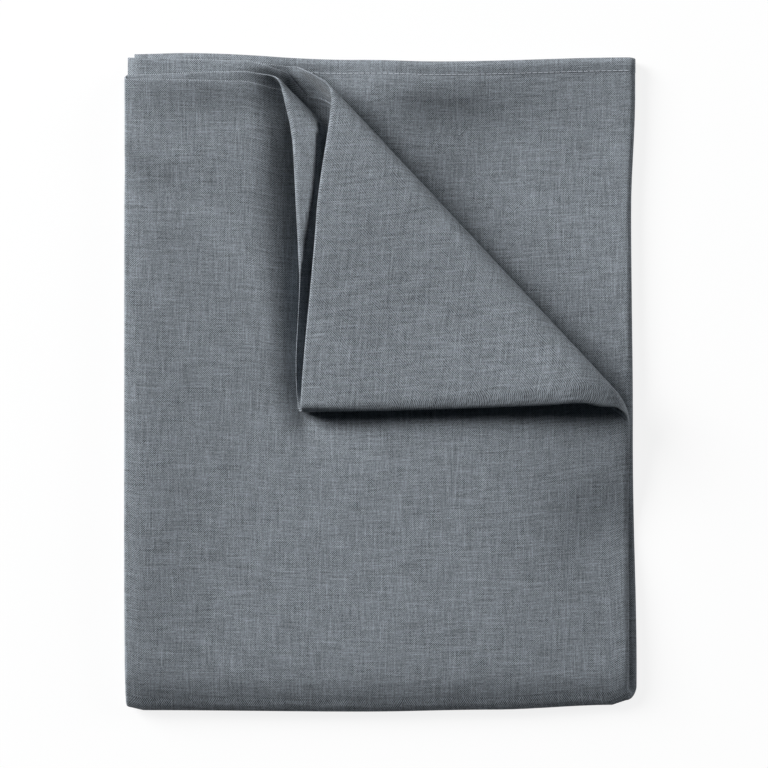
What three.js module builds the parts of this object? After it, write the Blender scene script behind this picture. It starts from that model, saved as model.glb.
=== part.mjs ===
// A linen tablecloth folded into a packet: in half crosswise, in half lengthwise twice, then in half
// crosswise again, with the top right corner of its front half turned down over itself.
//
// The cloth is one sheet and one closed solid. Its sixteen layers are one back-and-forth section, a
// little apart. x runs across the packet, y up its length, z up from the surface it lies on, and the
// origin is under the middle of the packet. Millimetres and radians.

import * as THREE from "three";

// ---- Driving dimensions -------------------------------------------------------------------------

const CLOTH = { width: 1400, length: 1800 };
const SHEET = 1.0; // thickness of one layer, with the air that the weave holds
const PITCH = 1.2; // from the middle of one layer to the middle of the next
const CORE = 0.6; // inside radius of the roll at the bottom of the packet
const LAYERS = 8; // layers in the front half, and in the back half
const LINEN = { colour: 0x7b828c, roughness: 0.93, metalness: 0 };

const HALF = { x: CLOTH.width / 8, y: CLOTH.length / 8 };
const STACK = LAYERS * PITCH;
const ROLL = CORE + STACK; // outside radius of the bottom roll
const MIDDLE = ROLL - (PITCH - SHEET) / 2; // height of the plane between the two halves
const TOP = MIDDLE + ROLL; // height of the front panel
const WRAPPED = 3.5 * PITCH + SHEET / 2; // how far the outer side fold stands past its centre
const TUCKED = 1.5 * PITCH + SHEET / 2; // how far an inner side fold does

const deg = THREE.MathUtils.degToRad;
const { lerp, smoothstep } = THREE.MathUtils;

// The four lengthwise passes, in the order in which the cloth runs through them. level is the pass's
// height above the inside of the bottom roll, in layers; heading is +1 towards the right. The outer
// passes wrap round the inner ones where the corner is turned down.
const PASSES = [
  { name: "under", level: 1, heading: 1, outer: 1 },
  { name: "front", level: 7, heading: -1, outer: 0 },
  { name: "second", level: 5, heading: 1, outer: 0 },
  { name: "third", level: 3, heading: -1, outer: 1 },
];

// Where each pass's folded end stands at the top of the packet, above or below the nominal height, at
// the left side, before the crease, at the crease, on the turned-down corner and at the right side.
const FOLDED_ENDS = {
  under: { left: -3.0, before: -3.5, crease: -7.0, turned: -6.5, right: -5.0 },
  front: { left: -16.0, before: -17.5, crease: -22.5, turned: -18.0, right: -6.0 },
  second: { left: -13.0, before: -10.5, crease: -14.5, turned: -18.0, right: -6.5 },
  third: { left: -0.8, before: -2.5, crease: -7.0, turned: -7.0, right: -5.5 },
};
const ACROSS = { left: -175, before: -95, crease: -66, turned: -20, right: 165 };

// Outlines of the packet, as offsets from the nominal rectangle.
const HEMMED_END = [
  { x: -175, out: 3.2 },
  { x: -140, out: 4.0 },
  { x: -15, out: -1.5 },
  { x: 34, out: -2.6 },
  { x: 176, out: 1.0 },
];
const BOTTOM = [
  { x: -176, out: 0.6 },
  { x: -164, out: 3.0 },
  { x: -10, out: 4.0 },
  { x: 82, out: 2.6 },
  { x: 164, out: -0.6 },
  { x: 176, out: -4.0 },
];
const FRONT_SIDES = { left: 2.7, right: -2.9 };
const BACK_LEFT = [
  { y: -225, out: 2.7 },
  { y: 150, out: 1.6 },
  { y: 228, out: -1.2 },
];
const BACK_RIGHT = [
  { y: -200, out: 3.0 },
  { y: -30, out: 0.2 },
  { y: 120, out: -1.0 },
  { y: 200, out: 1.8 },
];

// The crease of the turned-down corner, seen from above: where it meets the folded ends, how steeply it
// falls to the right, and its length to the packet's right side.
const CREASE = { x: -47.5, y: HALF.y - 6.4, fall: deg(46.7), length: 320 };
const CORNER = { x: HALF.x - 3, y: HALF.y - 5 }; // the corner before it is turned
const TIP = { x: -57, y: -21 }; // where it comes to lie

// Section across the crease at its start, by the folded ends, and at its finish, at the right side.
// The layers bend up through rise on the radius foot, go straight for wall, bend over on the radius
// head, and run down to lie flat after run. inset is how far they keep inside the outer crease.
const TURNS = {
  inner: {
    rise: deg(118),
    start: { inset: 22, foot: 1.2, wall: 4, head: 3.2, run: 82 },
    finish: { inset: 5.6, foot: 2.6, wall: 0, head: 2.6, run: 45 },
    lies: 0.6,
  },
  outer: {
    rise: deg(78),
    start: { inset: 0, foot: 2.6, wall: 14, head: 2.2, run: 125 },
    finish: { inset: 0, foot: 7.8, wall: 0, head: 7.8, run: 60 },
    lies: STACK + 1.8,
  },
};
const LANDING = 40; // radius on which the turned layers level out again
const FULLNESS = 0.06; // how much thicker the packet stands in its middle

// Steps of the faceted surface.
const PANEL_X = [-130, -95, -66, -15, 55, 115];
const FRONT_STEPS = [0, 0.1, 0.28, 0.5, 0.75, 0.94, 1];
const BACK_STEPS = [0, 0.5, 1];
const WRAP_STEPS = 5; // round the outer side fold
const TUCK_STEPS = 3; // round an inner side fold
const LOOP_STEPS = 3; // round the fold at the folded ends
const ROLL_STEPS = 6; // round the bottom roll
const FOOT_STEPS = 2;
const HEAD_STEPS = 4;
const LANDING_STEPS = 2;
const TURN_PARTS = 3; // foot, wall and head, before the layers run down
const SCORE_NEAR = 0.02; // a point this near a bend line counts as on it

// ---- Outlines -----------------------------------------------------------------------------------

// Reads a table of offsets at a place between its rows.
function readTable(rows, key, at) {
  const last = rows.length - 1;
  if (at <= rows[0][key]) return rows[0].out;
  for (let i = 1; i <= last; i++) {
    const [low, high] = [rows[i - 1], rows[i]];
    if (at <= high[key]) return lerp(low.out, high.out, smoothstep(at, low[key], high[key]));
  }
  return rows[last].out;
}

function foldedEnd(pass, x) {
  const rows = Object.keys(ACROSS).map((place) => ({ x: ACROSS[place], out: FOLDED_ENDS[pass.name][place] }));
  return readTable(rows, "x", x);
}

// ---- Columns and rows of the flat cloth ------------------------------------------------------------

// Columns run along the cloth's width. Each holds its place between the packet's side folds (0 to 1),
// how far it bulges past them, its height in the bundle, the direction it heads in, how far it belongs
// to the outer passes, and the folded end that it reaches.
function makeColumns() {
  const places = [0, ...PANEL_X.map((x) => (x + HALF.x) / (2 * HALF.x)), 1];
  return PASSES.flatMap((pass, i) => {
    const straight = {
      bulge: 0,
      height: pass.level * PITCH,
      facing: pass.heading > 0 ? 0 : Math.PI,
      outer: pass.outer,
      ends: [pass, pass, 0],
    };
    const ordered = pass.heading > 0 ? places : places.toReversed();
    const columns = ordered.map((place) => ({ place, ...straight }));
    return i + 1 < PASSES.length ? [...columns, ...sideFold(pass, PASSES[i + 1])] : columns;
  });
}

// The columns between two passes, round half a circle.
function sideFold(pass, next) {
  const climb = Math.sign(next.level - pass.level);
  const radius = (Math.abs(next.level - pass.level) * PITCH) / 2;
  const centre = ((next.level + pass.level) * PITCH) / 2;
  const steps = radius > 2 * PITCH ? WRAP_STEPS : TUCK_STEPS;
  const facing = pass.heading > 0 ? 0 : Math.PI;
  return stepsBetween(steps).map((share) => {
    const angle = Math.PI * share;
    return {
      place: pass.heading > 0 ? 1 : 0,
      bulge: pass.heading * radius * Math.sin(angle),
      height: centre - climb * radius * Math.cos(angle),
      facing: facing + climb * pass.heading * angle,
      outer: lerp(pass.outer, next.outer, share),
      ends: [pass, next, share],
    };
  });
}

// Rows run along the cloth's length, from one hemmed end to the other. zone is the part of the packet,
// at the place along it (0 to 1), and loop is how far round the folded end the cloth has come.
function makeRows() {
  const front = FRONT_STEPS.map((at) => ({ zone: "front", at }));
  const roll = stepsBetween(ROLL_STEPS).map((at) => ({ zone: "roll", at }));
  const back = BACK_STEPS.map((at) => ({ zone: "back", at }));
  const half = [...front, ...roll, ...back];
  const first = half.map((row) => ({ ...row, loop: 0 })).reverse();
  const loop = stepsBetween(LOOP_STEPS).map((at) => ({ zone: "front", at: 0, loop: Math.PI * at }));
  const second = half.map((row) => ({ ...row, loop: Math.PI }));
  return [...first, ...loop, ...second];
}

function stepsBetween(count) {
  return Array.from({ length: count - 1 }, (_, i) => (i + 1) / count);
}

// ---- The folded packet ----------------------------------------------------------------------------

// A point of the cloth in the packet, before the corner is turned. face is its distance from the middle
// of the sheet.
function packetPoint(column, row, face) {
  const radius = PITCH / 2 + face;
  const lift = -radius * Math.cos(row.loop);
  const height = column.height + lift * Math.cos(column.facing);
  const bulge = column.bulge - lift * Math.sin(column.facing);
  const nominal = lerp(-HALF.x, HALF.x, column.place);
  const [pass, next, between] = column.ends;
  const folded = HALF.y + lerp(foldedEnd(pass, nominal), foldedEnd(next, nominal), between);
  const hemmed = HALF.y + readTable(HEMMED_END, "x", nominal);
  const bottom = -HALF.y - readTable(BOTTOM, "x", nominal) + ROLL;
  const reach = CORE + height;

  let y = lerp(folded, bottom, row.at) + radius * Math.sin(row.loop);
  let z = MIDDLE + reach;
  let turned = 0;
  if (row.zone === "roll") {
    const angle = Math.PI * row.at;
    y = bottom - reach * Math.sin(angle);
    z = MIDDLE + reach * Math.cos(angle);
    turned = (1 - Math.cos(angle)) / 2;
  } else if (row.zone === "back") {
    y = lerp(bottom, hemmed, row.at);
    z = MIDDLE - reach;
    turned = 1;
  }
  const left = -HALF.x + TUCKED - lerp(FRONT_SIDES.left, readTable(BACK_LEFT, "y", y), turned);
  const right = HALF.x - WRAPPED + lerp(FRONT_SIDES.right, readTable(BACK_RIGHT, "y", y), turned);
  return new THREE.Vector3(lerp(left, right, column.place) + bulge, y, z);
}

// ---- The turned-down corner -----------------------------------------------------------------------

const ALONG = new THREE.Vector2(Math.cos(CREASE.fall), -Math.sin(CREASE.fall));
const BEYOND = new THREE.Vector2(Math.sin(CREASE.fall), Math.cos(CREASE.fall));

function toCrease(x, y) {
  const from = new THREE.Vector2(x - CREASE.x, y - CREASE.y);
  return { along: from.dot(ALONG), beyond: from.dot(BEYOND) };
}

const CORNER_AT = toCrease(CORNER.x, CORNER.y);
const TIP_AT = toCrease(TIP.x, TIP.y);

// The section of one group of passes at a place along the crease.
function turnAt(turn, along) {
  const share = THREE.MathUtils.clamp(along / CREASE.length, 0, 1);
  const size = (key) => lerp(turn.start[key], turn.finish[key], share);
  const [inset, foot, wall, head, run] = ["inset", "foot", "wall", "head", "run"].map(size);
  const climb = foot * (1 - Math.cos(turn.rise)) + wall * Math.sin(turn.rise);
  const fall = climb + head * (Math.cos(turn.rise) + 1) - turn.lies;
  const slope = fall / run;
  const slide = (fall - LANDING * (1 - Math.cos(slope))) / Math.sin(slope);
  const upright = Math.min(turn.rise, Math.PI / 2);
  const reach = foot * Math.sin(upright) + wall * Math.cos(upright) + head * (1 - Math.sin(upright));
  const start = -inset - reach - STACK / 2;
  return {
    start,
    parts: [
      { turn: turn.rise, radius: foot, steps: FOOT_STEPS },
      { length: wall, steps: 1 },
      { turn: Math.PI - turn.rise + slope, radius: head, steps: HEAD_STEPS },
      { length: Math.max(slide, 0), steps: 1 },
      { turn: -slope, radius: LANDING, steps: LANDING_STEPS },
    ],
  };
}

function partLength(part, depth) {
  if (part.turn === undefined) return part.length;
  return Math.abs(part.turn) * (part.radius + Math.sign(part.turn) * depth);
}

// How much of a layer goes round the foot, up the wall and over the head.
function spentOnTurn(section, depth) {
  return section.parts.slice(0, TURN_PARTS).reduce((sum, part) => sum + partLength(part, depth), 0);
}

// Past the head a layer is drawn out, and slips along the crease, so that its corner comes to the tip.
function drawOf(turn, depth) {
  const section = turnAt(turn, CORNER_AT.along);
  const left = CORNER_AT.beyond - section.start - spentOnTurn(section, depth);
  return { pull: (section.start - TIP_AT.beyond) / left, slip: (TIP_AT.along - CORNER_AT.along) / left };
}

// Walks a section by the distance that a layer has come from its start: out and up in the plane across
// the crease.
function walk(section, depth, distance) {
  let [out, up, heading, left] = [section.start, 0, 0, distance];
  for (const part of section.parts) {
    const whole = partLength(part, depth);
    const share = whole > 0 ? Math.min(left / whole, 1) : 1;
    if (part.turn === undefined) {
      out += Math.cos(heading) * part.length * share;
      up += Math.sin(heading) * part.length * share;
    } else {
      const next = heading + part.turn * share;
      const radius = part.radius * Math.sign(part.turn);
      out += radius * (Math.sin(next) - Math.sin(heading));
      up -= radius * (Math.cos(next) - Math.cos(heading));
      heading = next;
    }
    left -= whole * share;
    if (left <= 0) break;
  }
  if (left > 0) {
    out += Math.cos(heading) * left;
    up += Math.sin(heading) * left;
  }
  return { out: out + depth * Math.sin(heading), up: up - depth * Math.cos(heading) };
}

// Turns a point of one group of passes.
function turnGroup(turn, point, reference) {
  const { along, beyond } = toCrease(point.x, point.y);
  const section = turnAt(turn, along);
  const depth = reference - point.z;
  const distance = beyond - section.start;
  if (distance <= 0) return point.clone();
  const draw = drawOf(turn, depth);
  const spent = spentOnTurn(section, depth);
  const past = Math.max(0, distance - spent);
  const { out, up } = walk(section, depth, Math.min(distance, spent) + past * draw.pull);
  const slid = along + past * draw.slip;
  return new THREE.Vector3(
    CREASE.x + ALONG.x * slid + BEYOND.x * out,
    CREASE.y + ALONG.y * slid + BEYOND.y * out,
    reference + up,
  );
}

function turnCorner(point, outer) {
  const inner = turnGroup(TURNS.inner, point, TOP);
  const wrapped = turnGroup(TURNS.outer, point, TOP - STACK / 2);
  return inner.lerp(wrapped, outer);
}

// The distances from a point to the lines across which the turned layers bend.
function bendLines(turn, point, reference) {
  const { along, beyond } = toCrease(point.x, point.y);
  const section = turnAt(turn, along);
  const depth = reference - point.z;
  const { pull } = drawOf(turn, depth);
  let line = beyond - section.start;
  const lines = [line];
  section.parts.forEach((part, i) => {
    const stretch = i < TURN_PARTS ? 1 : pull;
    for (let step = 0; step < part.steps; step++) {
      line -= partLength(part, depth) / part.steps / stretch;
      lines.push(line);
    }
  });
  return lines;
}

// ---- The solid ------------------------------------------------------------------------------------

// A mesh of flat polygons that can be scored along lines, sharing the points that lines make on edges.
class Polygons {
  constructor() {
    this.points = [];
    this.faces = [];
  }

  addPoint(point) {
    return this.points.push(point) - 1;
  }

  // Cuts the faces along the line on which value is zero.
  score(value, isScored) {
    const values = this.points.map(value);
    const cuts = new Map();
    const cutBetween = (a, b) => {
      const key = a < b ? `${a}_${b}` : `${b}_${a}`;
      if (!cuts.has(key)) {
        const share = values[a] / (values[a] - values[b]);
        const [from, to] = [this.points[a], this.points[b]];
        const at = from.at.clone().lerp(to.at, share);
        cuts.set(key, this.addPoint({ at, outer: lerp(from.outer, to.outer, share), front: true }));
        values.push(0);
      }
      return cuts.get(key);
    };
    const faces = [];
    for (const face of this.faces) {
      const signs = face.map((i) => (Math.abs(values[i]) < SCORE_NEAR ? 0 : Math.sign(values[i])));
      if (!isScored(face) || !signs.includes(1) || !signs.includes(-1)) {
        faces.push(face);
        continue;
      }
      const above = [];
      const below = [];
      face.forEach((index, i) => {
        const next = (i + 1) % face.length;
        if (signs[i] >= 0) above.push(index);
        if (signs[i] <= 0) below.push(index);
        if (signs[i] * signs[next] < 0) {
          const cut = cutBetween(index, face[next]);
          above.push(cut);
          below.push(cut);
        }
      });
      faces.push(above, below);
    }
    this.faces = faces;
  }

  triangles() {
    return this.faces.flatMap((face) => face.slice(2).flatMap((_, i) => [face[0], face[i + 1], face[i + 2]]));
  }
}

function foldedCloth() {
  const columns = makeColumns();
  const rows = makeRows();
  const mesh = new Polygons();
  const pointOf = (column, row, face) => ({
    at: packetPoint(column, row, face),
    outer: column.outer,
    front: row.zone === "front",
  });
  const layer = (face) => columns.map((column) => rows.map((row) => mesh.addPoint(pointOf(column, row, face))));
  const outside = layer(SHEET / 2);
  const inside = layer(-SHEET / 2);
  const quad = (a, b, c, d) => mesh.faces.push([a, b, c, d]);
  const wide = columns.length - 1;
  const long = rows.length - 1;
  for (let i = 0; i < wide; i++) {
    for (let j = 0; j < long; j++) {
      quad(outside[i][j], outside[i][j + 1], outside[i + 1][j + 1], outside[i + 1][j]);
      quad(inside[i][j], inside[i + 1][j], inside[i + 1][j + 1], inside[i][j + 1]);
    }
    quad(outside[i][0], outside[i + 1][0], inside[i + 1][0], inside[i][0]);
    quad(outside[i + 1][long], outside[i][long], inside[i][long], inside[i + 1][long]);
  }
  for (let j = 0; j < long; j++) {
    quad(outside[0][j + 1], outside[0][j], inside[0][j], inside[0][j + 1]);
    quad(outside[wide][j], outside[wide][j + 1], inside[wide][j + 1], inside[wide][j]);
  }
  return mesh;
}

function fullness(point) {
  const across = Math.max(0, 1 - (point.x / HALF.x) ** 2);
  const down = Math.max(0, 1 - (point.y / HALF.y) ** 2);
  point.z *= 1 + FULLNESS * across * down;
  return point;
}

function tablecloth() {
  const mesh = foldedCloth();
  const bends = ({ at, outer }) => {
    const inner = bendLines(TURNS.inner, at, TOP);
    const wrapped = bendLines(TURNS.outer, at, TOP - STACK / 2);
    return inner.map((line, i) => lerp(line, wrapped[i], outer));
  };
  const lines = bends(mesh.points[0]).length;
  for (let i = 0; i < lines; i++) {
    mesh.score(
      (point) => bends(point)[i],
      (face) => face.every((index) => mesh.points[index].front),
    );
  }
  const shaped = mesh.points.map(({ at, outer, front }) => fullness(front ? turnCorner(at, outer) : at));
  const geometry = new THREE.BufferGeometry().setFromPoints(shaped);
  geometry.setIndex(mesh.triangles());
  geometry.computeBoundingBox();
  const middle = geometry.boundingBox.getCenter(new THREE.Vector3());
  geometry.translate(-middle.x, -middle.y, 0);
  geometry.computeVertexNormals();
  const material = new THREE.MeshStandardMaterial({
    color: LINEN.colour,
    roughness: LINEN.roughness,
    metalness: LINEN.metalness,
  });
  const cloth = new THREE.Mesh(geometry, material);
  cloth.name = "tablecloth";
  return cloth;
}

const part = new THREE.Group();
part.add(tablecloth());

export default part;
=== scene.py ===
"""A linen tablecloth folded into a packet, with one corner of its front half turned down.

The cloth is one sheet. It is laid out flat as a grid, carried through its folds to the packet, scored
where the corner is turned, turned over its crease, and settled into its soft waves. Everything is in
metres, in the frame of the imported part: x across the packet, y up its length, z up from the surface.
"""

import logging
import math
from dataclasses import dataclass, field
from enum import Enum

import bpy
import numpy as np
from mathutils import Matrix


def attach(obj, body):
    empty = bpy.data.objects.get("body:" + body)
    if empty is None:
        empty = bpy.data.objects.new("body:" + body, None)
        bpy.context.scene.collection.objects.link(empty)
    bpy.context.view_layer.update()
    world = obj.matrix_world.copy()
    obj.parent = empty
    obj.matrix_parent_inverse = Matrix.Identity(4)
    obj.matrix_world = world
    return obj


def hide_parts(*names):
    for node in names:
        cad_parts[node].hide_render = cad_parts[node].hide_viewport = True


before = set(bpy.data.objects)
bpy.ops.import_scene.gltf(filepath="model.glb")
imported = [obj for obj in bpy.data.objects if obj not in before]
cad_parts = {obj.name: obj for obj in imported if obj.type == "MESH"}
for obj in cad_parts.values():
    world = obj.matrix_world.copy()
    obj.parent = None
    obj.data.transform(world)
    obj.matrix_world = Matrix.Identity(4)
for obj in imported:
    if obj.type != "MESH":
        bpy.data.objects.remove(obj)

LOG = logging.getLogger("tablecloth")
Array = np.ndarray


def mm(size: float) -> float:
    """Millimetres as metres."""
    return size * 0.001


def smooth(share: Array) -> Array:
    """Eases a share between 0 and 1 in and out, and holds it at the ends."""
    held = np.clip(share, 0.0, 1.0)
    return held * held * (3.0 - 2.0 * held)


def blend(first: Array, second: Array, share: Array) -> Array:
    """Goes from the first value to the second by a share."""
    return first + (second - first) * share


@dataclass(frozen=True)
class Outline:
    """A line through a short table of offsets, eased between its rows, all in millimetres."""

    rows: tuple[tuple[float, float], ...]

    def read(self, at: Array) -> Array:
        """Reads the offset at a place.

        Args:
            at: Places in metres.

        Returns:
            The offsets in metres.
        """
        places, offsets = (np.array(column) * 0.001 for column in zip(*self.rows))
        at = np.asarray(at, float)
        low = np.clip(np.searchsorted(places, at) - 1, 0, len(places) - 2)
        share = (at - places[low]) / (places[low + 1] - places[low])
        return blend(offsets[low], offsets[low + 1], smooth(share))


class Zone(Enum):
    """The parts of the packet that a row of the cloth lies in."""

    FRONT = 0
    ROLL = 1
    BACK = 2


@dataclass(frozen=True)
class Pass:
    """One lengthwise pass of the cloth across the packet."""

    name: str
    level: int
    heading: int
    outer: float
    columns: int
    folded_end: Outline
    hemmed_inset: float


UNDER_END = Outline((
    (-175, -3.0), (-95, -3.5), (-56, -6.5), (-30, -9.0), (-14, -13.0), (60, -7.5), (165, -5.0),
))
FRONT_END = Outline((
    (-175, -16.0), (-95, -17.5), (-66, -22.5), (-20, -24.5), (90, -18.0), (165, -7.5),
))
SECOND_END = Outline((
    (-175, -13.0), (-95, -10.5), (-66, -14.5), (-20, -19.5), (60, -17.0), (165, -7.0),
))
THIRD_END = Outline((
    (-175, -0.8), (-95, -2.5), (-66, -9), (-50, -26), (-14, -34), (60, -18), (165, -7),
))
PASSES = (
    Pass("under", 1, 1, 1.0, 48, UNDER_END, 0.0),
    Pass("front", 7, -1, 0.0, 36, FRONT_END, mm(2.0)),
    Pass("second", 5, 1, 0.0, 30, SECOND_END, mm(3.5)),
    Pass("third", 3, -1, 1.0, 26, THIRD_END, mm(1.2)),
)


@dataclass
class Columns:
    """Lines along the cloth's length, as arrays with one entry each."""

    place: Array
    bulge: Array
    height: Array
    facing: Array
    outer: Array
    first: Array
    following: Array
    between: Array


@dataclass
class Rows:
    """Lines along the cloth's width, as arrays with one entry each."""

    zone: Array
    at: Array
    loop: Array


@dataclass
class Packet:
    """The cloth folded into its packet, before the corner is turned."""

    half_wide: float = mm(175)
    half_long: float = mm(225)
    pitch: float = mm(1.2)
    core: float = mm(0.6)
    layers: int = 8
    sheet: float = mm(1.0)
    hem: float = mm(9.5)
    wrap_steps: int = 12
    tuck_steps: int = 6
    loop_steps: int = 6
    roll_steps: int = 14
    side_hem: tuple[float, float] = (0.026, 0.0285)
    groove_places: tuple[float, float, int] = (0.22, 0.36, 13)
    near_bottom: tuple[float, ...] = (0.97, 0.985, 0.992)
    left_front: float = mm(2.7)
    right_front: float = mm(-2.9)
    hemmed_end: Outline = Outline(((-175, 3.2), (-140, 4.0), (-15, -1.5), (34, -2.6), (176, 1.0)))
    bottom: Outline = Outline(((-176, 0.6), (-164, 3.0), (-10, 4.0), (82, 2.6), (164, -0.6), (176, -4.0)))
    left_back: Outline = Outline(((-225, 2.7), (150, 1.6), (228, -1.2)))
    right_back: Outline = Outline(((-200, 3.0), (-30, 0.2), (120, -1.0), (200, 1.8)))

    @property
    def stack(self) -> float:
        """Thickness of one half of the packet."""
        return self.layers * self.pitch

    @property
    def roll(self) -> float:
        """Outside radius of the roll at the bottom."""
        return self.core + self.stack

    @property
    def middle(self) -> float:
        """Height of the plane between the two halves."""
        return self.roll - (self.pitch - self.sheet) / 2

    @property
    def top(self) -> float:
        """Height of the front panel."""
        return self.middle + self.roll

    def columns(self) -> Columns:
        """Lays out the columns through the four passes and the side folds between them.

        Returns:
            The columns, from one long edge of the cloth to the other.
        """
        rows = []
        for number, one in enumerate(PASSES):
            places = np.linspace(0.0, 1.0, one.columns)
            if one.name == "front":
                places = np.unique(np.concatenate([places, np.linspace(*self.groove_places)]))
            if number in (0, len(PASSES) - 1):
                places = np.insert(places, 1, self.side_hem)
            if one.heading < 0:
                places = places[::-1]
            facing = 0.0 if one.heading > 0 else math.pi
            height = one.level * self.pitch
            rows += [(at, 0.0, height, facing, one.outer, number, number, 0.0) for at in places]
            if number + 1 < len(PASSES):
                rows += self.side_fold(number, facing)
        return Columns(*(np.array(values)[:, None] for values in zip(*rows)))

    def side_fold(self, number: int, facing: float) -> list[tuple[float, ...]]:
        """Lays out the columns between two passes, round half a circle.

        Args:
            number: Which pass the fold follows.
            facing: The direction in which that pass is heading, as an angle.

        Returns:
            One tuple for each column.
        """
        one, after = PASSES[number], PASSES[number + 1]
        climb = np.sign(after.level - one.level)
        radius = abs(after.level - one.level) * self.pitch / 2
        centre = (after.level + one.level) * self.pitch / 2
        steps = self.wrap_steps if radius > 2 * self.pitch else self.tuck_steps
        made = []
        for share in np.arange(1, steps) / steps:
            angle = math.pi * share
            late = smooth(1.5 * share - 0.5) if number == 0 else share
            made.append((
                1.0 if one.heading > 0 else 0.0,
                one.heading * radius * math.sin(angle),
                centre - climb * radius * math.cos(angle),
                facing + climb * one.heading * angle,
                blend(one.outer, after.outer, late),
                number,
                number + 1,
                share,
            ))
        return made

    def rows(self) -> Rows:
        """Lays out the rows from one hemmed end of the cloth to the other.

        Returns:
            The rows.
        """
        hem = self.hem / (2 * self.half_long)
        near_hem = 1.0 - np.array([hem + mm(2.2), hem + mm(1.1), hem, hem / 2])
        near_end = np.linspace(0, 0.064, 17)
        fine = np.unique(np.concatenate([np.linspace(0, 1, 61), near_end, self.near_bottom]))
        plain = np.unique(np.concatenate([np.linspace(0, 1, 31), near_end, [0.985]]))
        back = np.unique(np.concatenate([np.linspace(0, 1, 33), near_hem]))
        plain_back = np.unique(np.concatenate([np.linspace(0, 1, 13), near_hem]))
        turn = np.arange(1, self.roll_steps) / self.roll_steps

        def half(front: Array, behind: Array, loop: float) -> list[tuple[int, float, float]]:
            """Lists the rows of one layer from its folded end to its hem.

            Args:
                front: Shares of the way down its front part.
                behind: Shares of the way up its back part.
                loop: How far round the folded end it lies, as an angle.

            Returns:
                One tuple for each row.
            """
            made = [(Zone.FRONT.value, at, loop) for at in front]
            made += [(Zone.ROLL.value, at, loop) for at in turn]
            return made + [(Zone.BACK.value, at, loop) for at in behind]

        loops = np.pi * np.arange(1, self.loop_steps) / self.loop_steps
        listed = half(fine, back, 0.0)[::-1]
        listed += [(Zone.FRONT.value, 0.0, angle) for angle in loops]
        listed += half(plain, plain_back, math.pi)
        return Rows(*(np.array(values)[None, :] for values in zip(*listed)))

    def ends(self, columns: Columns, nominal: Array) -> tuple[Array, Array]:
        """Finds where each column's folded end and hemmed end stand.

        Args:
            columns: The columns.
            nominal: Where each column stands across the packet.

        Returns:
            The folded ends' and the hemmed ends' places up the packet, one of each for a column.
        """
        folded = np.stack([one.folded_end.read(nominal) for one in PASSES])
        inset = np.array([one.hemmed_inset for one in PASSES])
        first, following = columns.first.astype(int), columns.following.astype(int)
        where = np.arange(len(nominal))[:, None]
        end = blend(folded[first, where, 0], folded[following, where, 0], columns.between)
        hem = self.hemmed_end.read(nominal) - blend(inset[first], inset[following], columns.between)
        return self.half_long + end, self.half_long + hem

    def points(self, columns: Columns, rows: Rows) -> Array:
        """Places the middle of the sheet in the packet.

        Args:
            columns: The columns.
            rows: The rows.

        Returns:
            Points, as an array of columns by rows by three.
        """
        radius = self.pitch / 2
        lift = -radius * np.cos(rows.loop)
        height = columns.height + lift * np.cos(columns.facing)
        bulge = columns.bulge - lift * np.sin(columns.facing)
        nominal = blend(-self.half_wide, self.half_wide, columns.place)
        folded, hemmed = self.ends(columns, nominal)
        bottom = -self.half_long - self.bottom.read(nominal) + self.roll
        reach = self.core + height

        angle = np.pi * rows.at
        is_roll, is_back = rows.zone == Zone.ROLL.value, rows.zone == Zone.BACK.value
        y = blend(folded, bottom, rows.at) + radius * np.sin(rows.loop)
        y = np.where(is_roll, bottom - reach * np.sin(angle), y)
        y = np.where(is_back, blend(bottom, hemmed, rows.at), y)
        z = self.middle + reach * np.where(is_roll, np.cos(angle), np.where(is_back, -1.0, 1.0))
        turned = np.where(is_roll, (1 - np.cos(angle)) / 2, np.where(is_back, 1.0, 0.0))

        tucked = 1.5 * self.pitch + self.sheet / 2
        wrapped = 3.5 * self.pitch + self.sheet / 2
        left = -self.half_wide + tucked - blend(self.left_front, self.left_back.read(y), turned)
        right = self.half_wide - wrapped + blend(self.right_front, self.right_back.read(y), turned)
        x = blend(left, right, columns.place) + bulge
        return np.stack(np.broadcast_arrays(x, y, z), axis=-1)


@dataclass(frozen=True)
class Section:
    """Sizes of the section across the crease at one end of it, in millimetres."""

    inset: float
    foot: float
    wall: float
    head: float
    run: float

    def towards(self, other: "Section", share: Array) -> list[Array]:
        """Reads the sizes between this section and another, in metres."""
        names = ("inset", "foot", "wall", "head", "run")
        return [mm(1) * blend(getattr(self, name), getattr(other, name), share) for name in names]


@dataclass
class Part:
    """A part of a section: turned by an angle on a radius, or straight, with radius for its length."""

    steps: int
    turn: Array | None
    radius: Array | float

    def length(self, depth: Array) -> Array:
        """How much of a layer the part takes at a depth."""
        if self.turn is None:
            return self.radius + 0 * depth
        return np.abs(self.turn) * (self.radius + np.sign(self.turn) * depth)


@dataclass
class Crease:
    """The line over which the corner is turned, and where its corner comes to lie."""

    x: float = mm(-47.5)
    y: float = mm(218.6)
    fall: float = math.radians(46.7)
    long: float = mm(320)
    corner: tuple[float, float] = (mm(172), mm(220))
    tip: tuple[float, float] = (mm(-57), mm(-21))

    def seen(self, x: Array, y: Array) -> tuple[Array, Array]:
        """Measures a place along the crease and beyond it.

        Args:
            x: Places across the packet.
            y: Places up its length.

        Returns:
            How far along the crease, and how far beyond it, towards the corner.
        """
        dx, dy = x - self.x, y - self.y
        cos, sin = math.cos(self.fall), math.sin(self.fall)
        return dx * cos - dy * sin, dx * sin + dy * cos

    def placed(self, along: Array, beyond: Array) -> tuple[Array, Array]:
        """Gives the plan position of a place along the crease and beyond it."""
        cos, sin = math.cos(self.fall), math.sin(self.fall)
        return self.x + cos * along + sin * beyond, self.y - sin * along + cos * beyond


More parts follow.
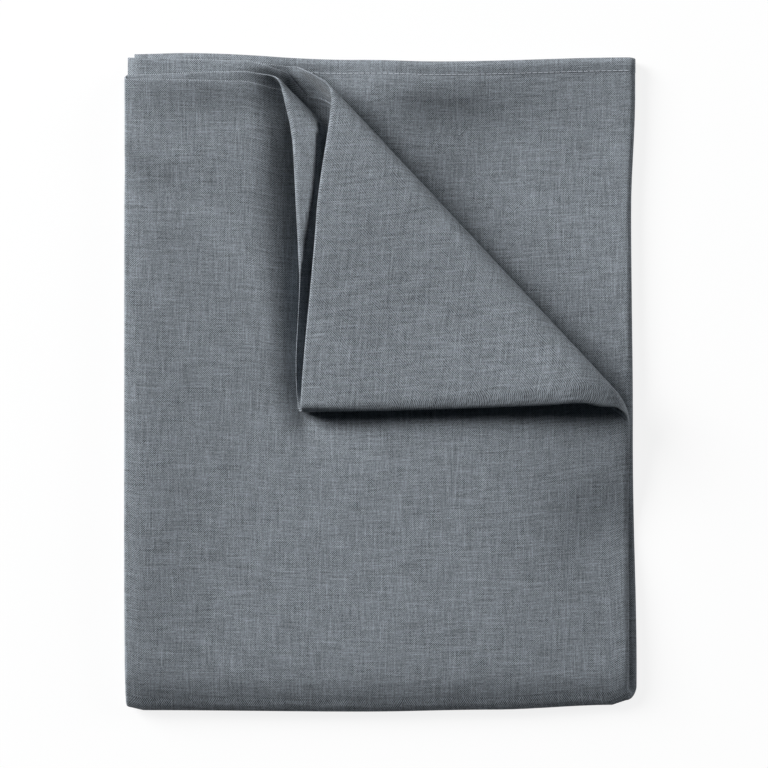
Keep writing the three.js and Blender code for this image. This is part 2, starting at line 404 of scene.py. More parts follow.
@dataclass
class Turn:
    """How one group of passes is turned over the crease."""

    crease: Crease
    rise: float
    start: Section
    finish: Section
    lies: float
    reference: float
    stack: float
    squeeze: tuple[float, float]
    landing: float = mm(40)
    bend_parts: int = 3

    def section(self, along: Array) -> tuple[Array, list[Part]]:
        """Builds the section at places along the crease.

        Args:
            along: Distances along the crease.

        Returns:
            Where the section starts, and its parts.
        """
        share = np.clip(along / self.crease.long, 0.0, 1.0)
        inset, foot, wall, head, run = self.start.towards(self.finish, share)
        climb = foot * (1 - math.cos(self.rise)) + wall * math.sin(self.rise)
        fall = climb + head * (math.cos(self.rise) + 1) - self.lies
        slope = fall / run
        slide = (fall - self.landing * (1 - np.cos(slope))) / np.sin(slope)
        upright = min(self.rise, math.pi / 2)
        reach = foot * math.sin(upright) + wall * math.cos(upright) + head * (1 - math.sin(upright))
        parts = [
            Part(4, self.rise + 0 * along, foot),
            Part(1, None, wall),
            Part(9, math.pi - self.rise + slope, head),
            Part(1, None, np.maximum(slide, 0.0)),
            Part(5, -slope, self.landing),
        ]
        return -inset - reach - self.stack / 2, parts

    def spent(self, parts: list[Part], depth: Array) -> Array:
        """How much of a layer goes round the foot, up the wall and over the head."""
        return sum(part.length(depth) for part in parts[: self.bend_parts])

    def draw(self, depth: Array) -> tuple[Array, Array]:
        """How far a layer is drawn out past the head, and slips along the crease, to reach the tip.

        Args:
            depth: How deep the layer lies in its group.

        Returns:
            The stretch out, and the slip along the crease for each metre past the head.
        """
        corner_along, corner_beyond = self.crease.seen(*self.crease.corner)
        tip_along, tip_beyond = self.crease.seen(*self.crease.tip)
        start, parts = self.section(np.asarray(corner_along))
        left = corner_beyond - start - self.spent(parts, depth)
        return (start - tip_beyond) / left, (tip_along - corner_along) / left

    def walk(self, start: Array, parts: list[Part], depth: Array, distance: Array) -> tuple[Array, ...]:
        """Follows a section by the distance that a layer has come from its start.

        Args:
            start: Where the section starts.
            parts: The section's parts.
            depth: How deep the layer lies in its group.
            distance: How far it has come.

        Returns:
            Out, up and heading, in the plane across the crease.
        """
        out, up, heading, left = start + 0 * distance, 0 * distance, 0 * distance, distance
        for part in parts:
            whole = part.length(depth)
            share = np.clip(left / np.maximum(whole, 1e-9), 0.0, 1.0)
            if part.turn is None:
                out = out + np.cos(heading) * whole * share
                up = up + np.sin(heading) * whole * share
            else:
                after = heading + part.turn * share
                radius = part.radius * np.sign(part.turn)
                out = out + radius * (np.sin(after) - np.sin(heading))
                up = up - radius * (np.cos(after) - np.cos(heading))
                heading = after
            left = left - whole * share
        return out + np.cos(heading) * left, up + np.sin(heading) * left, heading

    def apply(self, points: Array) -> Array:
        """Turns points of this group over the crease.

        Args:
            points: Points in the packet, by three.

        Returns:
            The turned points.
        """
        along, beyond = self.crease.seen(points[:, 0], points[:, 1])
        start, parts = self.section(along)
        depth = self.reference - points[:, 2]
        distance = np.maximum(beyond - start, 0.0)
        pull, slip = self.draw(depth)
        spent = self.spent(parts, depth)
        past = np.maximum(0.0, distance - spent)
        out, up, heading = self.walk(start, parts, depth, np.minimum(distance, spent) + past * pull)
        share = np.clip(along / self.crease.long, 0.0, 1.0)
        held = blend(1.0, blend(*self.squeeze, share), smooth(heading / math.pi))
        out = out + depth * held * np.sin(heading)
        up = up - depth * held * np.cos(heading)
        x, y = self.crease.placed(along + past * slip, out)
        turned = np.stack([x, y, self.reference + up], axis=1)
        return np.where((beyond > start)[:, None], turned, points)

    def bends(self, points: Array) -> Array:
        """Distances from points to the lines across which this group bends, one row a line.

        Args:
            points: Points in the packet, by three.

        Returns:
            The distances, lines by points.
        """
        along, beyond = self.crease.seen(points[:, 0], points[:, 1])
        start, parts = self.section(along)
        depth = self.reference - points[:, 2]
        pull, _ = self.draw(depth)
        line = beyond - start
        lines = [line]
        for number, part in enumerate(parts):
            stretch = 1.0 if number < self.bend_parts else pull
            for _ in range(part.steps):
                line = line - part.length(depth) / part.steps / stretch
                lines.append(line)
        return np.array(lines)


@dataclass
class Corner:
    """The turned-down corner: its inner passes inside, its outer passes wrapped round them."""

    packet: Packet
    crease: Crease = field(default_factory=Crease)
    drawn_reach: float = mm(80)
    drawn_from: float = mm(24)
    inner_in: Outline = Outline(((-60, 0), (13, 5), (68, 9.5), (110, 13), (136, 18), (155, 14), (178, 4)))
    inner_up: Outline = Outline(((-60, 0), (-20, 2), (68, 4), (103, 5.5), (136, 6), (178, 3)))
    outer_in: Outline = Outline((
        (-60, 0), (13, -2.5), (68, -3), (110, -3), (136, -2.5), (155, -8), (178, -5),
    ))
    outer_up: Outline = Outline(((-60, 0), (-20, 1.8), (68, 2.8), (103, 3.5), (136, 4), (178, 1)))

    def __post_init__(self) -> None:
        """Makes the two groups' turns."""
        stack, top = self.packet.stack, self.packet.top
        self.inner = Turn(
            self.crease, math.radians(118), Section(22, 1.2, 4, 3.2, 82), Section(5.6, 2.6, 0, 2.6, 45),
            mm(0.6), top, stack, (0.85, 0.6),
        )
        self.wrapped = Turn(
            self.crease, math.radians(71), Section(0, 1.0, 16.5, 1.4, 125), Section(0, 7.8, 0, 7.8, 60),
            stack + mm(1.8), top - stack / 2, stack, (0.85, 0.6),
        )

    def drawn_in(self, points: Array, turned: Array, inwards: Outline, upwards: Outline) -> Array:
        """Draws turned points in along the bottom edge of the turned corner, and lifts them there.

        Args:
            points: Points in the packet.
            turned: The same points, turned over the crease.
            inwards: How far the edge is drawn in, at each x.
            upwards: How far the edge is lifted, at each x.

        Returns:
            The turned points, drawn in.
        """
        side = smooth((points[:, 0] - self.packet.half_wide) / self.drawn_reach + 1)
        _, beyond = self.crease.seen(turned[:, 0], turned[:, 1])
        share = side * smooth((turned[:, 2] - self.packet.top) / mm(1)) * smooth(-beyond / self.drawn_from)
        made = turned.copy()
        made[:, 1] += inwards.read(turned[:, 0]) * share
        made[:, 2] += upwards.read(turned[:, 0]) * share
        return made

    def apply(self, points: Array, outer: Array) -> Array:
        """Turns points by how far they belong to the outer passes.

        Args:
            points: Points in the packet, by three.
            outer: 0 for points of the inner passes, 1 for points of the outer ones.

        Returns:
            The turned points.
        """
        inner = self.drawn_in(points, self.inner.apply(points), self.inner_in, self.inner_up)
        wrapped = self.drawn_in(points, self.wrapped.apply(points), self.outer_in, self.outer_up)
        return blend(inner, wrapped, outer[:, None])

    def bends(self, points: Array, outer: Array) -> Array:
        """Distances to the bend lines, by how far the points belong to the outer passes."""
        return blend(self.inner.bends(points), self.wrapped.bends(points), outer[None, :])


@dataclass(frozen=True)
class Swell:
    """A soft rise or hollow in the packet, in millimetres and degrees.

    It moves what lies above base, fully from full upwards, and fades over fade above until.
    """

    x: float
    y: float
    wide: float
    long: float
    turned: float
    rise: float
    base: float
    full: float
    until: float = 1000.0
    fade: float = 3.0

    def lift(self, points: Array) -> Array:
        """Works out how far the swell lifts points.

        Args:
            points: Points of the folded cloth, by three.

        Returns:
            The lifts.
        """
        cos, sin = math.cos(math.radians(self.turned)), math.sin(math.radians(self.turned))
        dx, dy = points[:, 0] - mm(self.x), points[:, 1] - mm(self.y)
        across = (dx * cos + dy * sin) / mm(self.wide)
        down = (dy * cos - dx * sin) / mm(self.long)
        held = np.clip((points[:, 2] - mm(self.base)) / mm(self.full - self.base), 0.0, 1.0)
        held = held * (1 - np.clip((points[:, 2] - mm(self.until)) / mm(self.fade), 0.0, 1.0))
        return mm(self.rise) * np.exp(-(across**2) - down**2) * held


@dataclass
class Groove:
    """The dip that the front panel makes beside the turned-down corner, in millimetres.

    edge is where the dip is deepest, as its x at each y, and depth is how deep it is there. The inner
    passes of the corner bridge the dip, but go down into it along the left edge of the outer ones.
    """

    packet: Packet
    edge: Outline = Outline(((-60, -52), (-15, -52.5), (92, -55), (176, -55.5), (207, -64), (230, -67)))
    depth: Outline = Outline((
        (-66, 0), (-44, 1.2), (-26, 4.8), (-8, 9.2), (60, 13.5), (200, 13.5), (216, 8), (235, 3),
    ))
    flap_edge: Outline = Outline(((-21, -55), (30, -51), (155, -39), (202, -34)))
    near: Outline = Outline(((-42, 20), (30, 27), (130, 37), (180, 34), (235, 31)))
    far: float = mm(80)
    clear: float = mm(1.5)
    clear_at_edge: float = mm(40)
    edge_wide: float = mm(4.5)

    def lift(self, points: Array, outer: Array) -> Array:
        """Works out how far the groove lifts points, which is down.

        Args:
            points: Points of the folded cloth, by three.
            outer: 0 for points of the inner passes, 1 for points of the outer ones.

        Returns:
            The lifts.
        """
        x, y, z = points.T
        from_edge = x - self.edge.read(y)
        rise = np.clip(1 + from_edge / self.near.read(y), 0, 1) ** 2
        inside = np.where(from_edge < 0, rise, smooth(1 - from_edge / self.far))
        by_edge = np.exp(-(((x - self.flap_edge.read(y)) / self.edge_wide) ** 2)) * (1 - outer)
        clear = blend(self.clear, self.clear_at_edge, by_edge)
        top = self.packet.top
        held = np.clip(z / top, 0.0, 1.0) * (1 - smooth((z - top) / clear))
        return -self.depth.read(y) * inside * held


@dataclass
class Settling:
    """How the packet rests: its fullness, its soft bottom edge, its groove and its swells.

    bottom_drop is how many thousandths of its height the cloth loses at each distance from the bottom.
    """

    packet: Packet
    fullness: float = 0.06
    bottom_drop: Outline = Outline((
        (-8, 450), (0, 430), (7.6, 350), (14, 210), (21, 105), (30, 45), (46, 14), (70, 0),
    ))
    swells: tuple[Swell, ...] = (
        Swell(10, 225, 95, 17, 0, 9.0, 0, 9, 9.5, 24),
        Swell(15, 203, 80, 11, 0, 9.5, 0, 9, 9.5, 24),
        Swell(-69, 217, 18, 7, -8, 16.5, 9, 14),
        Swell(60, 135, 45, 45, 0, -5.0, 0, 9, 12),
        Swell(110, 125, 70, 60, 0, -2.5, 0, 9, 12),
        Swell(184, 120, 20, 120, 0, 2.0, 0, 9, 20),
        Swell(60, 105, 150, 24, -46.7, 8.5, 0, 9, 9.5, 24),
        Swell(-38, 192, 13, 20, 0, -9.0, 0, 14, 18, 6),
        Swell(-135, 212, 55, 20, 0, 5.0, 10, 19),
        Swell(-130, 154, 60, 26, 0, 1.5, 10, 19),
        Swell(-160, 138, 32, 11, -28, -4.6, 8, 19),
        Swell(-126, 116, 48, 14, -50, -3.0, 8, 19),
        Swell(-185, 60, 65, 150, 0, 6.5, 8, 19),
        Swell(-180, -120, 42, 90, 0, 6.0, 4, 19),
        Swell(186, -125, 62, 95, 0, -8.5, 0, 19),
        Swell(170, -100, 40, 32, 0, -5.4, 0, 19),
        Swell(65, -6, 95, 16, 0, -5.0, 0, 19, 21),
        Swell(150, 0, 45, 45, 0, 4.0, 22, 27),
        Swell(-45, 90, 60, 90, 0, 4.0, 27, 32),
    )

    def apply(self, points: Array, outer: Array) -> Array:
        """Settles points.

        Args:
            points: Points of the folded cloth, by three.
            outer: How far each belongs to the outer passes.

        Returns:
            The settled points.
        """
        made = points.copy()
        made[:, 2] += Groove(self.packet).lift(made, outer)
        across = np.maximum(0.0, 1 - (made[:, 0] / self.packet.half_wide) ** 2)
        down = np.maximum(0.0, 1 - (made[:, 1] / self.packet.half_long) ** 2)
        edge = -self.packet.half_long - self.packet.bottom.read(made[:, 0])
        drop = 1000 * self.bottom_drop.read(made[:, 1] - edge)
        made[:, 2] *= (1 + self.fullness * across * down) * (1 - 0.001 * drop)
        made[:, 2] += sum(swell.lift(made) for swell in self.swells)
        return made


class ScoredMesh:
    """A mesh of flat polygons that can be cut along lines, sharing the points made on edges."""

    def __init__(self, points: Array, extras: Array, faces: list[list[int]], scored: list[bool]) -> None:
        """Keeps the mesh.

        Args:
            points: Its points, by three.
            extras: Numbers that go with each point.
            faces: Each face's points.
            scored: Which faces may be cut.
        """
        self.points = points
        self.extras = extras
        self.faces = faces
        self.scored = scored

    def score(self, values: Array, near: float) -> tuple[Array, Array]:
        """Cuts the faces along the line on which values is zero.

        Args:
            values: One value for each point.
            near: A point with a value this small counts as on the line.

        Returns:
            The new points and their numbers.
        """
        signs = np.where(np.abs(values) < near, 0, np.sign(values)).astype(int).tolist()
        cuts: dict[tuple[int, int], int] = {}
        count = len(self.points)
        faces, scored = [], []
        for face, is_scored in zip(self.faces, self.scored):
            sides = [signs[i] for i in face] if is_scored else ()
            if 1 not in sides or -1 not in sides:
                faces.append(face)
                scored.append(is_scored)
                continue
            above, below = [], []
            for index, after in zip(face, face[1:] + face[:1]):
                if signs[index] >= 0:
                    above.append(index)
                if signs[index] <= 0:
                    below.append(index)
                if signs[index] * signs[after] < 0:
                    key = (min(index, after), max(index, after))
                    cut = cuts.setdefault(key, count + len(cuts))
                    above.append(cut)
                    below.append(cut)
            faces += [above, below]
            scored += [True, True]
        self.faces, self.scored = faces, scored
        pairs = np.array(list(cuts), int).reshape(-1, 2)
        share = values[pairs[:, 0]] / (values[pairs[:, 0]] - values[pairs[:, 1]])
        fresh = blend(self.points[pairs[:, 0]], self.points[pairs[:, 1]], share[:, None])
        extra = blend(self.extras[pairs[:, 0]], self.extras[pairs[:, 1]], share[:, None])
        self.points = np.concatenate([self.points, fresh])
        self.extras = np.concatenate([self.extras, extra])
        return fresh, extra


class Graph:
    """A material's nodes, with a short way to add and join them."""

    def __init__(self, name: str) -> None:
        """Makes an empty material.

        Args:
            name: The material's name.
        """
        self.material = bpy.data.materials.new(name)
        self.material.use_nodes = True
        self.tree = self.material.node_tree
        self.tree.nodes.clear()

    def add(self, kind: str, inputs: dict | None = None, **settings: object) -> bpy.types.Node:
        """Adds a node.

        Args:
            kind: The node's type.
            inputs: Values or sockets for its inputs, by name or number.
            settings: Properties of the node.

        Returns:
            The node.
        """
        node = self.tree.nodes.new(kind)
        for key, value in settings.items():
            setattr(node, key, value)
        for key, value in (inputs or {}).items():
            if isinstance(value, bpy.types.NodeSocket):
                self.tree.links.new(value, node.inputs[key])
            else:
                node.inputs[key].default_value = value
        return node

    def math(self, operation: str, *values: object) -> bpy.types.NodeSocket:
        """Adds a Math node and gives its result."""
        return self.add("ShaderNodeMath", dict(enumerate(values)), operation=operation).outputs[0]


@dataclass(frozen=True)
class Linen:
    """Plain-woven linen with slubs in both directions.

    thread is the distance between yarns, and slub_long the length over which a yarn changes. Each
    contrast is how far its pattern moves the colour's brightness.
    """

    name: str = "slate_linen"
    colour: tuple[float, float, float] = (0.174, 0.194, 0.215)
    thread: float = mm(0.7)
    slub_long: float = mm(30)
    yarn_spread: float = 900.0
    slub_from: float = 0.62
    slub_to: float = 0.85
    warp_seed: float = 0.5
    weft_seed: float = 7000.5
    cloud_scale: float = 34.0
    wander_scale: float = 90.0
    wander: float = 9.0
    yarn_contrast: float = 0.92
    slub_contrast: float = 0.23
    cloud_contrast: float = 0.06
    weave_contrast: float = 0.98
    grain: float = mm(1.3)
    grain_contrast: float = 1.25
    roughness: float = 0.92
    sheen: float = 0.08
    relief: float = mm(0.12)

    def streaks(self, graph: Graph, place: bpy.types.NodeSocket, along: int, seed: float) -> tuple:
        """Adds the unevenness of the yarns that run one way.

        Args:
            graph: The material.
            place: Where on the flat cloth, in metres.
            along: 0 for yarns along the width, 1 along the length.
            seed: Which part of the pattern is used.

        Returns:
            The yarns' shade and their slubs, each about 0 to 1.
        """
        apart = graph.add("ShaderNodeSeparateXYZ", {0: place})
        number = graph.math("MULTIPLY", apart.outputs[1 - along], 1 / self.thread)
        number = graph.math("ADD", graph.math("FLOOR", number), seed)
        own = graph.add("ShaderNodeTexWhiteNoise", {"W": number}, noise_dimensions="1D")
        start = graph.math("MULTIPLY", own.outputs["Value"], self.yarn_spread)
        run = graph.math("MULTIPLY_ADD", apart.outputs[along], 1 / self.slub_long, start)
        yarn = graph.add(
            "ShaderNodeTexNoise",
            {"W": run, "Scale": 1.0, "Detail": 2.0, "Roughness": 0.6},
            noise_dimensions="1D",
        )
        slub = graph.add(
            "ShaderNodeTexNoise",
            {"W": run, "Scale": 1.3, "Detail": 0.0},
            noise_dimensions="1D",
        )
        thick = graph.add(
            "ShaderNodeMapRange",
            {
                "Value": slub.outputs["Fac"],
                "From Min": self.slub_from,
                "From Max": self.slub_to,
                "To Min": 0.0,
                "To Max": 1.0,
            },
        )
        return yarn.outputs["Fac"], thick.outputs[0]

    def make(self) -> bpy.types.Material:
        """Makes the material.

        Returns:
            The material.
        """
        graph = Graph(self.name)
        place = graph.add("ShaderNodeUVMap", uv_map="weave").outputs["UV"]
        warp, warp_slub = self.streaks(graph, place, 1, self.warp_seed)
        weft, weft_slub = self.streaks(graph, place, 0, self.weft_seed)
        cloud = graph.add(
            "ShaderNodeTexNoise",
            {"Vector": place, "Scale": self.cloud_scale, "Detail": 4.0, "Roughness": 0.65},
        )
        grain = graph.add(
            "ShaderNodeTexNoise",
            {"Vector": place, "Scale": 1 / self.grain, "Detail": 1.0},
        )

        apart = graph.add("ShaderNodeSeparateXYZ", {0: place})
        wander = graph.add(
            "ShaderNodeTexNoise",
            {"Vector": place, "Scale": self.wander_scale, "Detail": 2.0},
        )
        drift = graph.math("MULTIPLY", wander.outputs["Fac"], self.wander)
        turns = math.pi / self.thread
        over = graph.math("SINE", graph.math("MULTIPLY_ADD", apart.outputs[0], turns, drift))
        under = graph.math("SINE", graph.math("MULTIPLY_ADD", apart.outputs[1], turns, drift))
        weave = graph.math("MULTIPLY", over, under)

        yarns = graph.math("ADD", warp, weft)
        slubs = graph.math("ADD", warp_slub, weft_slub)
        shade = graph.math("MULTIPLY_ADD", yarns, self.yarn_contrast, 1.0 - self.yarn_contrast)
        shade = graph.math("MULTIPLY_ADD", slubs, self.slub_contrast, shade)
        shade = graph.math("MULTIPLY_ADD", cloud.outputs["Fac"], self.cloud_contrast, shade)
        shade = graph.math("SUBTRACT", shade, 0.5 * self.cloud_contrast)
        shade = graph.math("MULTIPLY_ADD", grain.outputs["Fac"], self.grain_contrast, shade)
        shade = graph.math("SUBTRACT", shade, 0.5 * self.grain_contrast)
        shade = graph.math("MULTIPLY_ADD", weave, self.weave_contrast, shade)
        colour = graph.add("ShaderNodeVectorMath", {0: self.colour, "Scale": shade}, operation="SCALE")

        height = graph.math("MULTIPLY_ADD", weave, 0.35, slubs)
        bump = graph.add("ShaderNodeBump", {"Height": height, "Strength": 0.6, "Distance": self.relief})
        shader = graph.add(
            "ShaderNodeBsdfPrincipled",
            {
                "Base Color": colour.outputs[0],
                "Normal": bump.outputs[0],
                "Roughness": self.roughness,
                "Sheen Weight": self.sheen,
                "Sheen Roughness": 0.5,
                "Specular IOR Level": 0.25,
            },
        )
        graph.add("ShaderNodeOutputMaterial", {"Surface": shader.outputs[0]})
        return graph.material


@dataclass
class Tablecloth:
    """The folded cloth, as one sheet."""

    width: float = 1.4
    length: float = 1.8
    ply: float = mm(0.35)
    hem_ply: float = mm(0.7)
    score_near: float = mm(0.15)
    packet: Packet = field(default_factory=Packet)
    finish: Linen = Linen()
    corner: Corner = field(init=False)
    settling: Settling = field(init=False)
    front: Array = field(init=False)
    counts: tuple[int, int] = field(init=False)
    points: Array = field(init=False)
    flat: Array = field(init=False)

    def __post_init__(self) -> None:
        """Makes the turned corner and the settling."""
        self.corner = Corner(self.packet)
        self.settling = Settling(self.packet)

    def flat_places(self, points: Array) -> Array:
        """Finds where each point of the grid lies on the flat cloth.

        Args:
            points: The packet's points, columns by rows by three.

        Returns:
            Places across the width and along the length, columns by rows by two.
        """
        made = []
        for axis, whole in ((0, self.width), (1, self.length)):
            steps = np.linalg.norm(np.diff(points, axis=axis), axis=2)
            run = np.cumsum(steps, axis=axis)
            run = np.concatenate([np.zeros_like(np.take(run, [0], axis=axis)), run], axis=axis)
            share = (run / np.take(run, [-1], axis=axis)).mean(axis=1 - axis, keepdims=True)
            made.append(np.broadcast_to(share * whole, points.shape[:2]))
        return np.stack(made, axis=-1)

    def grid(self) -> tuple[ScoredMesh, tuple[int, int]]:
        """Lays the cloth into the packet.

        Returns:
            The mesh, and how many columns and rows it has.
        """
        columns, rows = self.packet.columns(), self.packet.rows()
        points = self.packet.points(columns, rows)
        wide, long = points.shape[:2]
        outer = np.broadcast_to(columns.outer, (wide, long))
        flat = self.flat_places(points)
        extras = np.concatenate([flat, outer[..., None]], axis=2).reshape(-1, 3)
        number = np.arange(wide * long).reshape(wide, long)
        corners = [number[:-1, :-1], number[:-1, 1:], number[1:, 1:], number[1:, :-1]]
        faces = np.stack([c.ravel() for c in corners], axis=1).tolist()
        front = rows.zone[0] == Zone.FRONT.value
        scored = np.broadcast_to(front[:-1] & front[1:], (wide - 1, long - 1)).ravel().tolist()
        self.front = np.broadcast_to(front, (wide, long)).ravel()
        return ScoredMesh(points.reshape(-1, 3), extras, faces, scored), (wide, long)

    def shape(self, mesh: ScoredMesh) -> Array:
        """Scores the mesh where it bends, turns the corner and settles the cloth.

        Args:
            mesh: The cloth in its packet, with the corner not yet turned.

        Returns:
            The points of the finished cloth.
        """
        front = self.front
        lines = self.corner.bends(mesh.points, mesh.extras[:, 2])
        for number in range(len(lines)):
            fresh, extra = mesh.score(lines[number], self.score_near)
            if len(fresh):
                lines = np.concatenate([lines, self.corner.bends(fresh, extra[:, 2])], axis=1)
                front = np.concatenate([front, np.ones(len(fresh), bool)])
        points = mesh.points.copy()
        points[front] = self.corner.apply(points[front], mesh.extras[front, 2])
        return self.settling.apply(points, mesh.extras[:, 2])

    def hem_rows(self) -> list[tuple[Array, Array]]:
        """Finds the rows of points under the hems' stitches.

        Returns:
            The row under each hem's stitches, and the row next to it.
        """
        rows = self.packet.rows()
        wide, long = self.counts
        points = self.points[: wide * long].reshape(wide, long, 3)
        place = 1.0 - self.packet.hem / (2 * self.packet.half_long)
        found = (rows.zone[0] == Zone.BACK.value) & (np.abs(rows.at[0] - place) < 1e-9)
        made = []
        for at in np.flatnonzero(found):
            inwards = 1 if at < long / 2 else -1
            made.append((points[:, at], points[:, at + inwards]))
        return made

    def build(self) -> bpy.types.Object:
        """Builds the cloth.

        Returns:
            The finished object.
        """
        mesh, self.counts = self.grid()
        self.points = self.shape(mesh)
        self.flat = mesh.extras[:, :2]
        data = bpy.data.meshes.new("linen_tablecloth")
        data.from_pydata(self.points, [], mesh.faces)
        data.update()
        cloth = bpy.data.objects.new("linen_tablecloth", data)
        bpy.context.collection.objects.link(cloth)

        corner_points = np.zeros(len(data.loops), int)
        data.loops.foreach_get("vertex_index", corner_points)
        layer = data.uv_layers.new(name="weave")
        layer.uv.foreach_set("vector", self.flat[corner_points].astype(np.float32).ravel())

        hem = cloth.vertex_groups.new(name="hem")
        edge = np.minimum(
            np.minimum(self.flat[:, 0], self.width - self.flat[:, 0]),
            np.minimum(self.flat[:, 1], self.length - self.flat[:, 1]),
        )
        hem.add(np.flatnonzero(edge < self.packet.hem + mm(0.4)).tolist(), 1.0, "REPLACE")
        thicken = cloth.modifiers.new("thickness", "SOLIDIFY")
        thicken.thickness = self.hem_ply
        thicken.offset = 0.0
        thicken.vertex_group = "hem"
        thicken.thickness_vertex_group = self.ply / self.hem_ply
        data.materials.append(self.finish.make())

        bpy.ops.object.select_all(action="DESELECT")
        bpy.context.view_layer.objects.active = cloth
        cloth.select_set(True)
        bpy.ops.object.modifier_apply(modifier="thickness")
        bpy.ops.object.shade_smooth()
        cloth.vertex_groups.clear()
        LOG.info("cloth: %d faces", len(cloth.data.polygons))
        return cloth


@dataclass(frozen=True)
class Thread:
    """Matt sewing thread."""

    name: str = "pale_thread"
    colour: tuple[float, float, float] = (0.38, 0.41, 0.45)
    roughness: float = 0.7

    def make(self) -> bpy.types.Material:
        """Makes the material.

        Returns:
            The material.
        """
        graph = Graph(self.name)
        shader = graph.add(
            "ShaderNodeBsdfPrincipled", {"Base Color": (*self.colour, 1.0), "Roughness": self.roughness}
        )
        graph.add("ShaderNodeOutputMaterial", {"Surface": shader.outputs[0]})
        return graph.material


@dataclass
class HemStitching:
    """The line of stitches that holds each hem: every stitch is seen on both faces of the cloth."""

    pitch: float = mm(4.0)
    stitch_long: float = mm(3.0)
    stitch_wide: float = mm(0.6)
    stitch_high: float = mm(1.1)
    rounding: float = mm(0.12)
    straight: float = 0.995
    finish: Thread = Thread()

    def stitch(self) -> bpy.types.Object:
        """Models one stitch, as a bar with rounded edges.

        Returns:
            The stitch, at the origin.
        """
        bpy.ops.object.select_all(action="DESELECT")
        bpy.ops.mesh.primitive_cube_add(size=1.0)
        stitch = bpy.context.active_object
        stitch.name = "hem_stitching"
        stitch.scale = (self.stitch_long, self.stitch_wide, self.stitch_high)
        bpy.ops.object.transform_apply(location=False, rotation=False, scale=True)
        bpy.ops.object.mode_set(mode="EDIT")
        bpy.ops.mesh.select_all(action="SELECT")
        bpy.ops.mesh.bevel(offset=self.rounding, segments=1)
        bpy.ops.object.mode_set(mode="OBJECT")
        stitch.data.materials.append(self.finish.make())
        return stitch

    def places(self, line: Array, above: Array) -> list[tuple[Array, Array, Array]]:
        """Spaces the stitches along a line, leaving out the folds that are too tight for one.

        Args:
            line: Points along the line.
            above: Points beside them across the cloth, towards its middle.

        Returns:
            The middle of each stitch, the way it runs and the way its cloth faces.
        """
        run = np.concatenate([[0.0], np.cumsum(np.linalg.norm(np.diff(line, axis=0), axis=1))])

        def at(values: Array, where: float) -> Array:
            """Reads a point at a distance along the line."""
            return np.array([np.interp(where, run, values[:, axis]) for axis in range(3)])

        made = []
        for where in np.arange(self.pitch, run[-1] - self.pitch, self.pitch):
            before, middle, after = (at(line, where + step * self.stitch_long / 2) for step in (-1, 0, 1))
            ahead = after - before
            if np.linalg.norm(ahead) < self.straight * self.stitch_long:
                continue
            facing = np.cross(ahead, at(above, where) - middle)
            made.append((middle, ahead / np.linalg.norm(ahead), facing / np.linalg.norm(facing)))
        return made

    def build(self, cloth: "Tablecloth") -> bpy.types.Object:
        """Sews both hems.

        Args:
            cloth: The cloth, already built.

        Returns:
            The stitches, joined.
        """
        stitch = self.stitch()
        copies = []
        for row, beside in cloth.hem_rows():
            for middle, ahead, facing in self.places(row, beside):
                copy = bpy.data.objects.new("stitch", stitch.data)
                across = np.cross(facing, ahead)
                turned = np.eye(4)
                turned[:3, :] = np.stack([ahead, across, facing, middle], axis=1)
                copy.matrix_world = Matrix(turned.tolist())
                bpy.context.collection.objects.link(copy)
                copies.append(copy)
        first = copies.pop()
        bpy.data.objects.remove(stitch)
        bpy.ops.object.select_all(action="DESELECT")
        for copy in copies:
            copy.select_set(True)
        first.select_set(True)
        bpy.context.view_layer.objects.active = first
        bpy.context.view_layer.update()
        bpy.ops.object.join()
        bpy.ops.object.transform_apply(location=True, rotation=True, scale=True)
        first.name = "hem_stitching"
        LOG.info("hem stitching: %d stitches", len(copies) + 1)
        return first


@dataclass(frozen=True)
class SoftBox:
    """A square soft lamp that faces the packet.

    It stands at azimuth degrees from the packet's top towards its right, at elevation degrees above
    the floor. away is its distance and side its width, in metres, and power is in watts.
    """

    name: str
    azimuth: float
    elevation: float
    away: float
    side: float
    power: float

    def build(self) -> None:
        """Places the lamp."""
        data = bpy.data.lights.new(self.name, "AREA")
        data.size = self.side
        data.energy = self.power
        lamp = bpy.data.objects.new(self.name, data)
        bpy.context.collection.objects.link(lamp)
        turned, raised = math.radians(self.azimuth), math.radians(self.elevation)
        flat = self.away * math.cos(raised)
        lamp.location = (
            flat * math.sin(turned),
            flat * math.cos(turned),
            self.away * math.sin(raised),
        )
        lamp.rotation_euler = (-(math.pi / 2 - raised), 0.0, -turned)


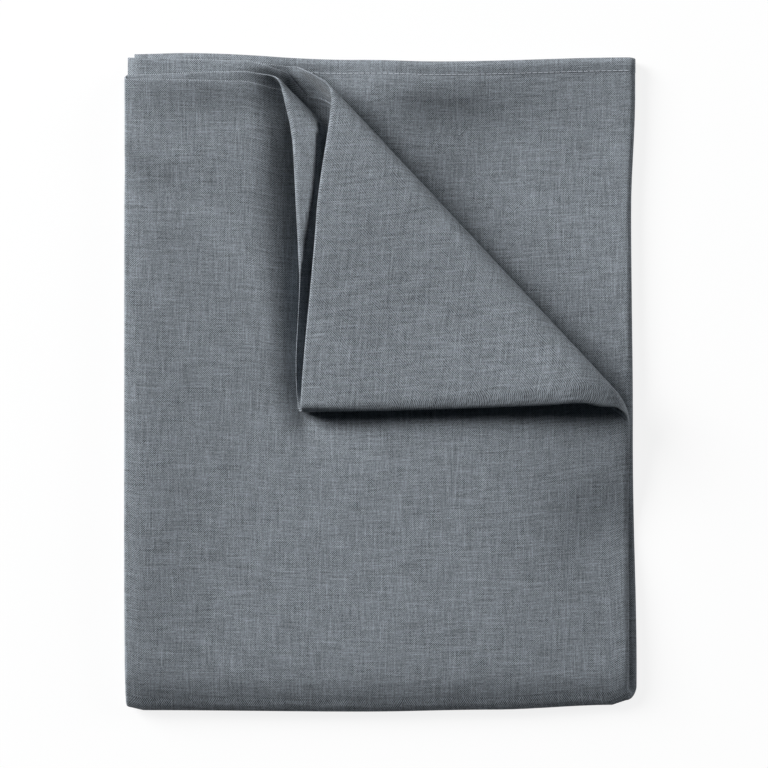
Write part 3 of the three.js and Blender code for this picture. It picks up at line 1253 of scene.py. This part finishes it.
@dataclass
class Studio:
    """The floor, the lights and the camera."""

    view_wide: float = 0.533
    lens: float = 135.0
    sensor: float = 36.0
    aim: tuple[float, float, float] = (mm(1.7), mm(-0.7), mm(10))
    floor_side: float = 12.0
    floor_shade: float = 0.95
    white_share: float = 0.85
    air_colour: tuple[float, float, float] = (0.72, 0.86, 1.0)
    air_strength: float = 0.04
    boxes: tuple[SoftBox, ...] = (
        SoftBox("left_box", -58, 25, 9.0, 4.3, 1690),
        SoftBox("right_box", 60, 25, 9.0, 4.3, 265),
    )

    def build(self) -> None:
        """Makes the whole studio."""
        self.floor()
        self.world()
        for box in self.boxes:
            box.build()
        self.camera()

    def seen_white(self, graph: Graph) -> bpy.types.NodeSocket:
        """Adds the share of white that the camera, reflections and glass see.

        Args:
            graph: The floor's material.

        Returns:
            The share.
        """
        path = graph.add("ShaderNodeLightPath")
        seen = graph.math("MAXIMUM", path.outputs["Is Camera Ray"], path.outputs["Is Glossy Ray"])
        seen = graph.math("MAXIMUM", seen, path.outputs["Is Transmission Ray"])
        return graph.math("MULTIPLY", seen, self.white_share)

    def floor(self) -> None:
        """Makes the pale floor."""
        bpy.ops.object.select_all(action="DESELECT")
        bpy.ops.mesh.primitive_plane_add(size=self.floor_side)
        floor = bpy.context.active_object
        floor.name = "floor"
        graph = Graph("pale_floor")
        shade = (self.floor_shade, self.floor_shade, self.floor_shade, 1.0)
        plain = graph.add("ShaderNodeBsdfDiffuse", {"Color": shade})
        white = graph.add("ShaderNodeEmission", {"Color": (1.0, 1.0, 1.0, 1.0), "Strength": 1.0})
        share = self.seen_white(graph)
        mixed = graph.add("ShaderNodeMixShader", {0: share, 1: plain.outputs[0], 2: white.outputs[0]})
        graph.add("ShaderNodeOutputMaterial", {"Surface": mixed.outputs[0]})
        floor.data.materials.append(graph.material)

    def world(self) -> None:
        """Makes the soft light from all round."""
        world = bpy.data.worlds.new("studio")
        bpy.context.scene.world = world
        world.use_nodes = True
        background = world.node_tree.nodes["Background"]
        background.inputs["Color"].default_value = (*self.air_colour, 1.0)
        background.inputs["Strength"].default_value = self.air_strength

    def camera(self) -> None:
        """Makes the camera, straight above."""
        data = bpy.data.cameras.new("camera")
        data.lens = self.lens
        data.sensor_width = self.sensor
        camera = bpy.data.objects.new("camera", data)
        bpy.context.collection.objects.link(camera)
        away = self.view_wide * self.lens / self.sensor
        camera.location = (self.aim[0], self.aim[1], self.aim[2] + away)
        data.clip_end = 10 * away
        bpy.context.scene.camera = camera


def main() -> None:
    """Builds the tablecloth and its studio."""
    logging.basicConfig(level=logging.INFO, format="%(message)s")
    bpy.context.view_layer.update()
    bpy.context.scene.view_settings.view_transform = "Standard"
    tablecloth = Tablecloth()
    cloth = tablecloth.build()
    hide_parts("tablecloth")
    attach(cloth, "root")
    stitches = HemStitching().build(tablecloth)
    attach(stitches, "root")
    Studio().build()


if __name__ == "__main__":
    main()
